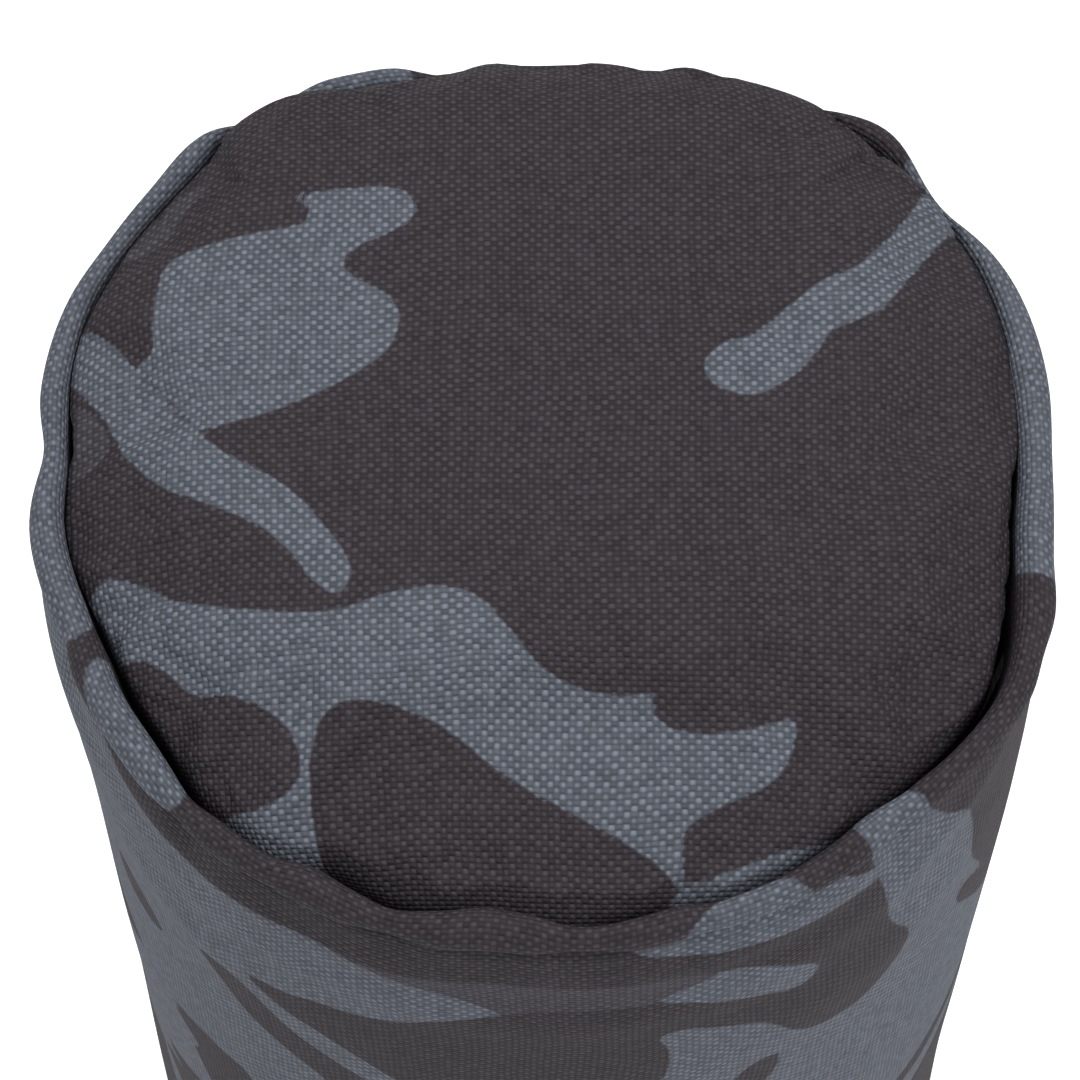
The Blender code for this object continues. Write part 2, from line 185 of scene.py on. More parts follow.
def distance_inside(points, outline):
    """Signed distance to a closed outline, negative inside, and FAR beyond its reach."""
    result = np.full(len(points), FAR)
    low, high = outline.min(axis=0) - REACH, outline.max(axis=0) + REACH
    near = np.where(((points > low) & (points < high)).all(axis=1))[0]
    if not len(near):
        return result
    p = points[near]
    best = np.full(len(p), FAR ** 2)
    inside = np.zeros(len(p), bool)
    for a, b in zip(outline, np.roll(outline, -1, axis=0)):
        edge = b - a
        length = max(float(edge @ edge), 1e-9)
        t = np.clip(((p - a) @ edge) / length, 0.0, 1.0)
        gap = p - a - t[:, None] * edge
        best = np.minimum(best, (gap ** 2).sum(axis=1))
        if a[1] != b[1]:
            crosses = (p[:, 1] < a[1]) != (p[:, 1] < b[1])
            at = a[0] + (p[:, 1] - a[1]) * edge[0] / edge[1]
            inside ^= crosses & (p[:, 0] < at)
    distance = np.sqrt(best)
    result[near] = np.where(inside, -distance, distance)
    return result


HOOKED = blotch((
    (-19.9, 20.7), (-17.8, 21.1), (-15, 21.5), (-12.2, 21.5), (-10.5, 20.8), (-9.8, 19.4),
    (-10.3, 18), (-12.2, 16.9), (-14.6, 15.5), (-15.2, 13.9), (-13.5, 12.5), (-11.5, 11),
    (-10.9, 9), (-11.9, 6.4), (-14.5, 4.3), (-18.3, 2.3), (-22.5, 0.9), (-27, 0.2), (-30, 3.5),
    (-31.9, 6.6), (-30.3, 8), (-29.9, 12.2), (-29.4, 14.9), (-27.5, 16.1), (-23.3, 17.2),
    (-19.4, 17.8), (-18, 18.6), (-18.2, 19.7),
))
RIBBON = blotch((
    (-37.4, 12), (-34.6, 10), (-31.7, 6.5), (-28.5, 2.4), (-24.6, -1.4), (-19.5, -4.7),
    (-16.9, -7.6), (-14.6, -11), (-14.5, -13), (-15.6, -13.8), (-17.2, -12.6), (-19, -10.2),
    (-21.4, -8), (-25, -6.1), (-29, -4.2), (-32, -1.4), (-34.2, 2.8), (-36.4, 6.4),
))
CLUB = blotch((
    (32.4, 26), (30.4, 22.8), (28.6, 19.4), (26.4, 16.4), (24, 14), (21.2, 12.4), (18.8, 10.2),
    (16, 7.7), (13.4, 6.8), (12.2, 5.2), (12.6, 3.6), (14.2, 2.5), (16.2, 2.4), (18.5, 3.8),
    (20.4, 5.7), (21.9, 8), (23.8, 9.1), (26, 10.3), (28.2, 13.1), (30.2, 16), (32.4, 19.2),
    (35.6, 23),
))
CLOUD = blotch((
    (-34.4, -11), (-30.8, -11.4), (-28, -13.1), (-24, -14.3), (-19, -15), (-15, -15), (-12, -14.1),
    (-8.9, -13.6), (-6.4, -13.8), (-4.6, -14.8), (-3.2, -16.4), (-1.7, -18.4), (0, -20.3),
    (2.4, -21.6), (5, -22.1), (7.9, -22), (7.7, -23), (9, -24.3), (11.6, -24.7), (14.6, -24.3),
    (17.2, -23.6), (18.3, -23.4), (18.2, -25.2), (16.9, -27.6), (14.4, -29), (11.4, -30.5),
    (9.9, -32), (9.8, -35), (8, -33.6), (5, -32), (1.8, -30.4), (-1.3, -28.8), (-4.4, -26.8),
    (-7, -24.7), (-9.8, -23.2), (-12.5, -22.2), (-15, -22.1), (-16.7, -23.2), (-17.4, -25.6),
    (-17.3, -29.5), (-16.7, -33), (-19.5, -33.5), (-23, -32), (-26, -29.6), (-30, -25.6),
    (-33.5, -19),
))
CLOUD_HOLE = blotch((
    (-35, -16), (-31.2, -16.8), (-28.9, -18.2), (-26.8, -20.2), (-23.4, -20.9), (-20.6, -22.4),
    (-18.7, -24.7), (-18.2, -26.9), (-19.4, -28.4), (-21.4, -29), (-23.6, -28.8), (-26, -28.6),
    (-31, -25), (-36, -20),
))
RIM_BAND = blotch((
    (9.6, -34.8), (11.5, -34.5), (14.4, -33.5), (17.4, -32.4), (21, -31.1), (24.2, -29.4),
    (25.6, -30.6), (22, -33.8), (17, -36.2), (12, -37.6), (8, -38),
))
LEFT_CHIP = blotch(((-37.6, 5), (-35.4, 3.8), (-33.8, 1), (-34.4, -0.6), (-36, -1.6), (-38, -1.6)))
TOP_CHIP = blotch((
    (-33.4, 17.6), (-31, 21.4), (-29, 23.6), (-27, 24), (-28.6, 21.6), (-30.2, 18.6),
))


def cap_print(points):
    """Light, muted and outline distances of the print on the top cap."""
    ribbon = distance_inside(points, RIBBON)
    cloud = np.maximum(distance_inside(points, CLOUD), -distance_inside(points, CLOUD_HOLE))
    light = np.minimum(distance_inside(points, HOOKED), distance_inside(points, CLUB))
    light = np.minimum(np.minimum(light, ribbon), cloud)
    light = np.minimum(light, distance_inside(points, RIM_BAND))
    muted = np.minimum(distance_inside(points, LEFT_CHIP), distance_inside(points, TOP_CHIP))
    return light, muted, np.abs(ribbon)


# Shapes on the sleeve, as (distance round from the front, distance along from the rolled edge)
SWEEP = blotch((
    (-62, -4), (-52, -3.5), (-45, -5.5), (-39.5, -7), (-37, -9), (-33, -10), (-28, -10.2),
    (-20, -10.3), (-12, -11.2), (-3, -11.2), (4, -11.3), (9, -11.9), (13.7, -13.3), (17.7, -16),
    (21, -19.8), (20.8, -22.2), (19, -22.6), (16.3, -20.6), (11.4, -17.4), (6.7, -15.9),
    (2, -15.5), (-1, -16.2), (-5, -17.8), (-9.5, -19.8), (-14.8, -23), (-19, -24.4),
    (-24.4, -25.6), (-22, -28.2), (-18, -31), (-13, -34), (-9, -37), (-13, -38), (-18, -36),
    (-22, -32.4), (-25.5, -28.6), (-29.7, -28), (-28, -32), (-25.5, -36.4), (-20.5, -40),
    (-17.5, -44), (-14, -50), (-16, -55), (-22, -54), (-26, -55), (-28, -52.5), (-32, -53.5),
    (-36.5, -55.5), (-42, -56), (-50, -52), (-60, -54), (-68, -46), (-64, -36), (-70, -26),
    (-66, -14),
))
STRIPE_MIDDLE = blotch((
    (-17, -10.2), (-8, -9), (4, -9.6), (11, -11.2), (12.6, -13.2), (8.6, -15.4), (4, -18),
    (-1, -18.4), (-4.6, -16.2), (-9, -13.6),
))
SWEEP_HOLE = blotch(((-44, -37), (-41, -36), (-37.5, -37), (-36.4, -39), (-39, -41), (-43, -41)))
SHOULDER = blotch((
    (6, -6), (9, -3.6), (10.5, -1), (13, 0.8), (16.5, 1), (18.6, -0.4), (20, -3.4), (24, -7.6),
    (28, -9.8), (27.4, -11.2), (22, -10.6), (16, -9.4), (10, -8.4),
))
FLANK = blotch((
    (24.5, 1.5), (29, 2), (30.6, -4), (33, -9.4), (36, -13.5), (38, -20), (39, -28), (42, -36),
    (46, -45), (50, -55), (46, -68), (34, -72), (22, -70), (12, -62), (8, -54), (6, -47), (5, -41),
    (7, -36), (9, -32), (9.2, -27), (8.4, -23.6), (10.5, -22.8), (13.2, -24.4), (17, -27),
    (19.4, -31.4), (22, -34.8), (26, -36), (29, -33.6), (30.6, -30.6), (30.4, -26.6), (28.4, -22),
    (27.2, -16), (26.4, -10.7), (25, -5),
))
FLANK_LENS = blotch((
    (14.2, -41.6), (14.8, -38), (16.6, -35.8), (18.6, -36.2), (18.9, -38.6), (17.8, -41.8),
    (15.6, -43.6),
))
FLANK_SLIVER = blotch((
    (39, -35), (42, -38), (46, -45), (49, -53), (45.6, -49), (41, -42), (38.6, -37.6),
))
EDGE_LEFT = blotch((
    (-41, 3), (-33, 3), (-29.6, 0.4), (-31, -2.4), (-35, -3.4), (-40, -2.4), (-43, 0),
))
EDGE_LEFT_FAR = blotch((
    (-112, 2), (-100, 3), (-84, 2.4), (-70, 3), (-55, 3), (-47, 1.6), (-46, -2), (-50, -6),
    (-58, -9), (-66, -16), (-76, -12), (-88, -14), (-98, -8), (-108, -6),
))
EDGE_RIGHT = blotch((
    (52, 3), (62, 3), (74, 2.6), (86, 3), (91, 0), (86, -5), (78, -9), (72, -16), (64, -18),
    (58, -10), (52.6, -5), (50.6, -1),
))


def random_blotches(seed):
    """The same kinds of blotch, scattered over the part of the sleeve below and behind."""
    draw = random.Random(seed)
    kinds = (HOOKED, RIBBON, CLUB, CLOUD)
    found = []
    for row in range(9):
        along = -TOP_EDGE + 14 + 30.5 * row
        for column in range(8):
            round_ = -122 + 31 * (column + 0.5 * (row % 2)) + draw.uniform(-5, 5)
            at = (round_, along + draw.uniform(-6, 6))
            kind = kinds[(3 * row + column + draw.randrange(2)) % len(kinds)]
            turn = draw.choice((0, 180)) + draw.uniform(-35, 35)
            scale = draw.uniform(1.0, 1.35)
            mirror = draw.random() < 0.5
            if at[1] < -62 or abs(at[0]) > 72:
                found.append(placed(kind, at, turn, scale, mirror))
    return found


def sleeve_print(points):
    """Light, muted and outline distances of the print on the sleeve."""
    own = (SHOULDER, FLANK, EDGE_LEFT, EDGE_LEFT_FAR, EDGE_RIGHT)
    light = np.maximum(distance_inside(points, SWEEP), -distance_inside(points, SWEEP_HOLE))
    for outline in own:
        light = np.minimum(light, distance_inside(points, outline))
    light = np.maximum(light, -distance_inside(points, FLANK_SLIVER))
    light = np.maximum(light, -distance_inside(points, FLANK_LENS))
    middle = distance_inside(points, STRIPE_MIDDLE)
    muted = np.maximum(light, middle)
    light = np.maximum(light, -middle)
    hairline = np.full(len(points), FAR)
    for i, outline in enumerate(random_blotches(seed=5)):
        layer = distance_inside(points, outline)
        if i % 5 == 2:
            muted = np.minimum(muted, layer)
        else:
            light = np.minimum(light, layer)
        if i % 3 == 0:
            hairline = np.minimum(hairline, np.abs(layer))
    return light, muted, hairline


# Meshes


def add_object(name, data):
    made = bpy.data.objects.new(name, data)
    bpy.context.scene.collection.objects.link(made)
    return made


def put_vectors(mesh, name, values):
    made = mesh.attributes.new(name, "FLOAT_VECTOR", "POINT")
    made.data.foreach_set("vector", np.asarray(values, np.float32).ravel())


def grid_mesh(name, points, weave, camo):
    """A sheet from rows of points in millimetres, with its cloth coordinates and print."""
    rows, columns = points.shape[:2]
    index = np.arange(rows * columns).reshape(rows, columns)
    quads = np.stack((index[:-1, :-1], index[1:, :-1], index[1:, 1:], index[:-1, 1:]), axis=-1)
    mesh = bpy.data.meshes.new(name)
    mesh.from_pydata(points.reshape(-1, 3) * MM, [], quads.reshape(-1, 4).tolist())
    put_vectors(mesh, "weave", weave.reshape(-1, 3))
    put_vectors(mesh, "camo", camo.reshape(-1, 3))
    mesh.shade_smooth()
    return add_object(name, mesh)


# Sleeve

LAP = 5.0  # half the width of the lapped seam at the back
LAP_ANGLE = math.degrees(LAP / WALL_RADIUS)
LAP_STEP = 0.7  # the upper layer of the lap stands this much proud
LAP_BLEND = 2.5  # degrees over which it rises
RIDGE_RISE = 1.85  # height of the rolled edge's round top
COLUMNS = 361
# Rows of the wall, close together near both ends, and the length they are shared out over
WALL_ROWS = np.concatenate((np.arange(0.45, 26, 0.75), np.arange(26, 268, 2.4),
                            np.arange(268, 292, 0.8)))
WALL_SPAN = 292.4
# Rows inside the rolled edge as (drop, inset), and the row at its crest
EDGE_INSIDE = ((8.5, 1.2), (7.0, 0.8), (5.6, 0.5), (4.2, 0.3), (3.0, 0.12))
CREST_ROW = len(EDGE_INSIDE) + 13
# Broad swellings of the wall: angle, half width in degrees, drop, half height, how far out
SWELLINGS = ((88, 30, 38, 24, 0.95), (-94, 34, 78, 34, -0.45), (-72, 18, 14, 9, 0.4))


def edge_profile(edge, crease, crest, dent):
    """Rows of (radius, height) over the rolled edge, from inside to where the wall starts."""
    outer = edge - 0.35 * dent
    inner = crease + 0.15 * dent
    width = (outer - inner) / 2
    middle = (outer + inner) / 2
    tall = RIDGE_RISE - 0.35 * dent
    top = crest - 0.5 * dent
    rows = [(inner - inset, top - drop) for drop, inset in EDGE_INSIDE]
    for i in range(25):
        a = math.radians(195 - 195 * i / 24)
        rows.append((middle + width * math.cos(a), top - tall + tall * math.sin(a)))
    return rows, outer, top


FOLDS = (
    # angle, drop, half length in degrees, half width, height, slope
    (-40, 9.0, 20, 2.4, 0.50, 0.08), (-8, 9.5, 24, 2.4, 0.35, -0.03),
    (26, 8.5, 16, 2.4, 0.50, -0.08), (-20, 16, 26, 3.4, 0.40, 0.06),
    (16, 17, 22, 3.0, 0.30, -0.10), (54, 11, 18, 3.0, 0.55, -0.16), (-68, 12, 16, 3.2, 0.50, 0.14),
    (-48, 25, 22, 4.5, 0.35, 0.12), (40, 27, 22, 4.5, 0.35, -0.12), (84, 9, 14, 2.8, 0.5, 0.05),
    (110, 12, 18, 3.2, 0.5, 0.1), (146, 9, 14, 2.8, 0.55, -0.1), (-96, 9, 14, 2.8, 0.5, -0.08),
    (-124, 13, 20, 3.4, 0.5, 0.1), (-156, 9, 14, 2.8, 0.5, -0.06),
)


def folds(angle, drop):
    """How far soft folds lift the wall, at a depth below the rolled edge."""
    total = np.zeros_like(angle)
    for centre, depth, length, width, height, slope in FOLDS:
        along = around(angle, centre)
        across = drop - depth - slope * along
        total += height * np.exp(-((along / length) ** 2) - (across / width) ** 2)
    return total


TAB_SEAT = 40.03  # the cloth's outside where the webbing is sewn to it
SEAT_HALF = 15.5  # half the width that is pressed flat
SEAT_LOW, SEAT_HIGH = 27.0, 67.0  # heights between which it is pressed flat


def pressed_flat(radius, angle, height):
    """Seats the wall under the sewn webbing."""
    off = np.abs(around(angle, 180)) * math.radians(1) * WALL_RADIUS
    weight = smooth((SEAT_HALF - off) / 2.5) * smooth((height - SEAT_LOW) / 5)
    weight = weight * smooth((SEAT_HIGH - height) / 2.5)
    seat = TAB_SEAT - smooth((angle - (180 - LAP_ANGLE - LAP_BLEND)) / LAP_BLEND) * LAP_STEP
    return radius + (seat - radius) * weight


def make_sleeve():
    angle = np.linspace(-180 - LAP_ANGLE, 180 + LAP_ANGLE, COLUMNS)
    edge = ring_curve(angle, EDGE)
    dent = pucker(angle, TOP_PUCKERS)
    crest = TOP_EDGE + ring_curve(angle, CREST)
    top_rows, outer, top = edge_profile(edge, ring_curve(angle, CREASE), crest, dent)
    base_dent = pucker(angle, BASE_PUCKERS)
    base_rows, base_outer, base = edge_profile(base_edge(angle), base_crease(angle),
                                               0.0 * angle, base_dent)
    base_rows = [(r, -z) for r, z in reversed(base_rows)]
    base = -base
    start = top - RIDGE_RISE
    stop = base + RIDGE_RISE
    wall_rows = []
    for share in WALL_ROWS / WALL_SPAN:
        height = start + (stop - start) * share
        drop = top - height
        rise = height - base
        # The wall follows the edge's outline near the top, and leans a little as it goes down
        square = np.clip(edge - 39.9, -0.7, 0.7) * 0.75 * np.exp(-drop / 45.0)
        for centre, wide, depth, tall, out in SWELLINGS:
            near = np.exp(-((around(angle, centre) / wide) ** 2) - ((drop - depth) / tall) ** 2)
            square = square + out * near
        radius = WALL_RADIUS + square + 0.35 * smooth((drop - 5) / 12) * smooth((rise - 5) / 12)
        radius = radius + (outer - radius) * np.exp(-(((drop - RIDGE_RISE) / 1.7) ** 2))
        radius = radius + (base_outer - radius) * np.exp(-(((rise - RIDGE_RISE) / 1.7) ** 2))
        fold_line = 0.65 + 0.25 * np.sin(np.radians(angle * 3 + 20)) + 0.25 * dent
        radius = radius - fold_line * np.exp(-(((drop - 4.2) / 0.9) ** 2))
        radius = radius - 0.5 * np.exp(-(((rise - 4.6) / 1.0) ** 2))
        radius = radius - 0.5 * dent * np.exp(-((drop - 4.0) / 6.0) ** 2)
        radius = radius - 0.5 * base_dent * np.exp(-((rise - 4.0) / 6.0) ** 2)
        radius = radius + folds(angle, drop) + folds(-angle, rise)
        radius = np.where(drop < 200, radius, pressed_flat(radius, angle, height))
        wall_rows.append((radius, height))
    rows = top_rows + wall_rows + base_rows
    radius = np.array([np.broadcast_to(r, angle.shape) for r, _ in rows])
    height = np.array([np.broadcast_to(z, angle.shape) for _, z in rows])
    radius = radius + smooth((angle - (180 - LAP_ANGLE - LAP_BLEND)) / LAP_BLEND) * LAP_STEP
    step = np.hypot(np.diff(radius, axis=0), np.diff(height, axis=0))
    length = np.concatenate((np.zeros((1, len(angle))), np.cumsum(step, axis=0)))
    length = length[CREST_ROW].mean() - length
    turn = np.broadcast_to(angle, radius.shape)
    away = smooth((TOP_EDGE - height - 3) / 12) * smooth((height - 3) / 12)
    away = away * (1 - smooth((26 - np.abs(around(turn, 180))) / 5) * smooth((70 - height) / 4))
    radius = radius + 0.22 * waves(turn * 0.7, height, 26, 3.7) * away
    turn = np.radians(turn)
    points = np.stack((radius * np.sin(turn), -radius * np.cos(turn), height), axis=-1)
    across = turn * WALL_RADIUS
    weave = np.stack((across, length, np.zeros_like(length)), axis=-1)
    camo = np.stack(sleeve_print(weave[..., :2].reshape(-1, 2)), axis=-1)
    return grid_mesh("cover_sleeve", points, weave, camo)


def base_crease(angle):
    return 37.0 + 0.4 * np.sin(np.radians(angle * 7))


def base_edge(angle):
    return 39.9 + 0.25 * np.sin(np.radians(angle * 5 + 40))


# Caps


def disc_grid(count):
    """A square grid of points folded evenly into a unit disc, as rows of (x, y)."""
    side = np.linspace(-1, 1, count)
    a, b = np.meshgrid(side, side)
    wide = np.abs(a) >= np.abs(b)
    safe_a = np.where(wide & (a != 0), a, 1)
    safe_b = np.where(~wide & (b != 0), b, 1)
    radius = np.where(wide, a, b)
    turn = np.where(wide, math.pi / 4 * b / safe_a, math.pi / 2 - math.pi / 4 * a / safe_b)
    return radius * np.cos(turn), radius * np.sin(turn)


def along_profile(share, angle, rim_at, height_at):
    """Length along the cloth from the middle of a cap."""
    shares = share[..., None] * np.linspace(0, 1, 60)
    angle = angle[..., None]
    rise = np.diff(height_at(shares, angle), axis=-1)
    return np.hypot(np.diff(shares, axis=-1) * rim_at(angle), rise).sum(axis=-1)


def make_cap(name, count, rim_at, height_at, down, camo_of):
    """A round cap inside its crease, with a rim tucked down into the seam."""
    x, y = disc_grid(count)
    share = 1 - (1 - np.minimum(np.hypot(x, y), 1.0)) ** 1.5
    angle = np.degrees(np.arctan2(x, -y))
    radius = share * rim_at(angle)
    height = height_at(share, angle)
    turn = np.radians(angle)
    flat = np.stack((radius * np.sin(turn), -radius * np.cos(turn)), axis=-1)
    height = height + 0.3 * waves(flat[..., 0], flat[..., 1], 13, 8.1) * smooth((1 - share) * 6)
    points = np.concatenate((flat, np.maximum(height, 0.0)[..., None]), axis=-1)
    slack = along_profile(share, angle, rim_at, height_at) / np.maximum(radius, 0.01)
    weave = np.concatenate((flat * slack[..., None], np.zeros_like(height)[..., None]), axis=-1)
    camo = np.stack(camo_of(flat.reshape(-1, 2)), axis=-1)
    cap = grid_mesh(name, points, weave, camo)
    tuck_rim(cap, down)
    return cap


def tuck_rim(cap, down):
    """Extends the cap's rim down into the crease."""
    work = bmesh.new()
    work.from_mesh(cap.data)
    for drop, inset in ((1.2, 0.02), (1.5, 0.1), (1.8, 0.3)):
        rim = [e for e in work.edges if e.is_boundary]
        grown = bmesh.ops.extrude_edge_only(work, edges=rim)["geom"]
        for vert in (item for item in grown if isinstance(item, bmesh.types.BMVert)):
            scale = 1 - inset * MM / math.hypot(vert.co.x, vert.co.y)
            vert.co.x *= scale
            vert.co.y *= scale
            vert.co.z += down * drop * MM
    bmesh.ops.recalc_face_normals(work, faces=work.faces)
    work.to_mesh(cap.data)
    work.free()


def top_rim(angle):
    return ring_curve(angle, CREASE) - ring_curve(angle, GAP)


def top_height(share, angle):
    """Height of the stuffed cap: fuller at the back, where it bulges over the seam."""
    turn = np.cos(np.radians(angle))
    rim = TOP_EDGE + 0.5 * ring_curve(angle, CREST) - 4.2 - 0.8 * turn - 1.2 * turn ** 2
    fullness = 0.21 + 0.16 * turn + 0.07 * turn ** 2
    height = rim + (CROWN + 0.4 - rim) * (1 - share ** 2.6) ** fullness
    inset = (1 - share) * 37
    groove = np.exp(-((inset / 4.0) ** 1.5)) * (1 - np.exp(-(inset / 0.5)))
    return height - 0.9 * pucker(angle, TOP_PUCKERS) * groove * (0.6 + 0.4 * turn)


def base_rim(angle):
    return base_crease(angle) - 0.3


def base_height(share, angle):
    return CREASE_DEPTH * (1 - (1 - share ** 10) ** 0.5)


def make_caps():
    top = make_cap("cover_top_cap", 121, top_rim, top_height, -1, cap_print)
    base = make_cap("cover_base_cap", 71, base_rim, base_height, 1,
                    lambda p: cap_print(p * (-1, 1) + (6, 4)))
    return top, base


# Materials


class Graph:
    """Short calls for building a node material."""

    def __init__(self, name):
        self.material = bpy.data.materials.new(name)
        self.material.use_nodes = True
        self.tree = self.material.node_tree
        self.shader = self.tree.nodes["Principled BSDF"]

    def node(self, kind, **values):
        made = self.tree.nodes.new(kind)
        for key, value in values.items():
            setattr(made, key, value)
        return made

    def feed(self, socket, value):
        if isinstance(value, bpy.types.NodeSocket):
            self.tree.links.new(value, socket)
        elif value is not None:
            socket.default_value = value

    def math(self, operation, *values, clamp=False):
        made = self.node("ShaderNodeMath", operation=operation, use_clamp=clamp)
        for socket, value in zip(made.inputs, values):
            self.feed(socket, value)
        return made.outputs[0]

    def mix(self, factor, a, b):
        made = self.node("ShaderNodeMix", data_type="RGBA")
        self.feed(made.inputs["Factor"], factor)
        self.feed(made.inputs["A"], a)
        self.feed(made.inputs["B"], b)
        return made.outputs["Result"]

    def ramp(self, value, low, high):
        made = self.node("ShaderNodeMapRange", interpolation_type="SMOOTHSTEP")
        for socket, given in zip(made.inputs, (value, low, high)):
            self.feed(socket, given)
        return made.outputs[0]

    def attribute(self, name):
        made = self.node("ShaderNodeAttribute", attribute_name=name)
        split = self.node("ShaderNodeSeparateXYZ")
        self.tree.links.new(made.outputs["Vector"], split.inputs[0])
        return made.outputs["Vector"], split.outputs

    def noise(self, vector, scale, detail=2.0):
        made = self.node("ShaderNodeTexNoise", noise_dimensions="3D")
        self.feed(made.inputs["Vector"], vector)
        made.inputs["Scale"].default_value = scale
        made.inputs["Detail"].default_value = detail
        return made.outputs[0]

    def white_noise(self, vector):
        made = self.node("ShaderNodeTexWhiteNoise", noise_dimensions="3D")
        self.feed(made.inputs["Vector"], vector)
        return made.outputs["Value"]

    def bump(self, height, distance):
        made = self.node("ShaderNodeBump")
        made.inputs["Distance"].default_value = distance
        made.inputs["Strength"].default_value = 1.0
        self.tree.links.new(height, made.inputs["Height"])
        self.tree.links.new(made.outputs[0], self.shader.inputs["Normal"])

    def set(self, **values):
        for key, value in values.items():
            self.shader.inputs[key.replace("_", " ")].default_value = value

    def vector(self, x, y, z):
        made = self.node("ShaderNodeCombineXYZ")
        for socket, value in zip(made.inputs, (x, y, z)):
            self.feed(socket, value)
        return made.outputs[0]


def plain_weave(g, across, along):
    """A plain weave: its height, its painted highlight and shade from 0 to 1 (light on the warp
    floats and along the threads' crowns, dark between the threads), and its thread numbers.
    """
    column = g.math("FLOOR", across)
    row = g.math("FLOOR", along)
    side = g.math("SINE", g.math("MULTIPLY", g.math("FRACT", across), math.pi))
    rise = g.math("SINE", g.math("MULTIPLY", g.math("FRACT", along), math.pi))
    warp_over = g.math("MODULO", g.math("ABSOLUTE", g.math("ADD", column, row)), 2.0)
    warp = g.math("MULTIPLY", side, g.math("MULTIPLY_ADD", rise, 0.75, 0.25))
    weft = g.math("MULTIPLY", rise, g.math("MULTIPLY_ADD", side, 0.55, 0.45))
    height = g.math("ADD", g.math("MULTIPLY", warp, warp_over),
                    g.math("MULTIPLY", weft, g.math("SUBTRACT", 1.0, warp_over)))
    # Painted highlight on the warp floats and painted shade on the weft floats
    float_highlight_and_shade = g.math("MULTIPLY", g.math("MULTIPLY", side, rise),
                   g.math("MULTIPLY_ADD", warp_over, 2.0, -1.0))
    # Painted highlight along the threads' crowns, painted shade in the gaps between the threads
    threads = g.math("ADD", g.math("MULTIPLY", g.math("MULTIPLY", side, side), 0.24),
                     g.math("MULTIPLY", g.math("MULTIPLY", rise, rise), 0.18))
    thread_highlight_and_shade = g.math("ADD", g.math("MULTIPLY_ADD", float_highlight_and_shade, 0.32, 0.29), threads)
    return height, thread_highlight_and_shade, column, row


# Print colours, each as painted shade between the threads and painted highlight on top of them
DARK = (0.0110, 0.0090, 0.0105, 1), (0.0610, 0.0515, 0.0595, 1)
LIGHT = (0.022, 0.025, 0.031, 1), (0.162, 0.176, 0.211, 1)
MUTED = (0.021, 0.019, 0.022, 1), (0.083, 0.077, 0.089, 1)


def camouflage_cloth(name, painted_light_contrast):
    g = Graph(name)
    place, cloth = g.attribute("weave")
    _, print_ = g.attribute("camo")
    slow = g.math("MULTIPLY_ADD", g.noise(place, 0.06, 1.0), 3.0, -1.5)
    quick = g.math("MULTIPLY_ADD", g.noise(place, 0.45, 1.0), 0.3, -0.15)
    shift = g.math("ADD", slow, quick)
    across = g.math("ADD", g.math("DIVIDE", cloth[0], THREAD_ACROSS), shift)
    along = g.math("ADD", g.math("DIVIDE", cloth[1], THREAD_ALONG), shift)
    height, thread_highlight_and_shade, column, row = plain_weave(g, across, along)
    warp_tone = g.noise(g.vector(column, 0.0, 3.1), 0.61)
    weft_tone = g.noise(g.vector(row, 5.3, 0.0), 0.57)
    crossing = g.white_noise(g.vector(column, row, 1.7))
    ragged = g.math("MULTIPLY_ADD", crossing, 0.2, -0.1)
    light = g.ramp(g.math("ADD", print_[0], ragged), 0.14, -0.14)
    muted = g.ramp(g.math("ADD", print_[1], ragged), 0.14, -0.14)
    hair = g.math("MULTIPLY", g.ramp(print_[2], 0.4, 0.15), g.ramp(print_[0], -0.3, -0.8))
    # low holds the print colours in painted shade, high holds them in painted highlight
    low = g.mix(light, g.mix(muted, DARK[0], MUTED[0]), LIGHT[0])
    high = g.mix(light, g.mix(muted, DARK[1], MUTED[1]), LIGHT[1])
    high = g.mix(g.math("MULTIPLY", hair, 0.75), high, DARK[1])
    thread_highlight_and_shade = g.math("MULTIPLY_ADD", thread_highlight_and_shade, painted_light_contrast, 0.5 * (1 - painted_light_contrast))
    tone = g.math("ADD", g.math("MULTIPLY", warp_tone, 0.35), g.math("MULTIPLY", weft_tone, 0.35))
    tone = g.math("ADD", tone, g.math("MULTIPLY_ADD", crossing, 0.55, 0.42))
    # The colour runs from painted shade to painted highlight over each thread
    colour = g.mix(g.math("MULTIPLY", thread_highlight_and_shade, tone, clamp=True), low, high)
    g.feed(g.shader.inputs["Base Color"], colour)
    g.feed(g.shader.inputs["Roughness"], g.math("MULTIPLY_ADD", height, -0.2, 0.85))
    g.set(Specular_IOR_Level=0.1)
    g.bump(height, 0.00012)
    return g.material


def grained(name, colour, roughness, scale, relief, stretch=(1, 1, 1), metallic=0.0, depth=0.25):
    """A material with a fine grain, drawn out along an axis where the piece has fibres."""
    g = Graph(name)
    place = g.node("ShaderNodeTexCoord").outputs["Object"]
    drawn = g.node("ShaderNodeVectorMath", operation="MULTIPLY")
    g.feed(drawn.inputs[0], place)
    g.feed(drawn.inputs[1], stretch)
    grain = g.noise(drawn.outputs[0], scale, 4.0)
    darker = tuple(c * (1 - depth) for c in colour) + (1,)
    lighter = tuple(min(1, c * (1 + depth)) for c in colour) + (1,)
    g.feed(g.shader.inputs["Base Color"], g.mix(g.ramp(grain, 0.3, 0.7), darker, lighter))
    g.feed(g.shader.inputs["Roughness"], g.math("MULTIPLY_ADD", grain, 0.24, roughness - 0.12))
    g.set(Metallic=metallic)
    g.bump(grain, relief)
    return g.material


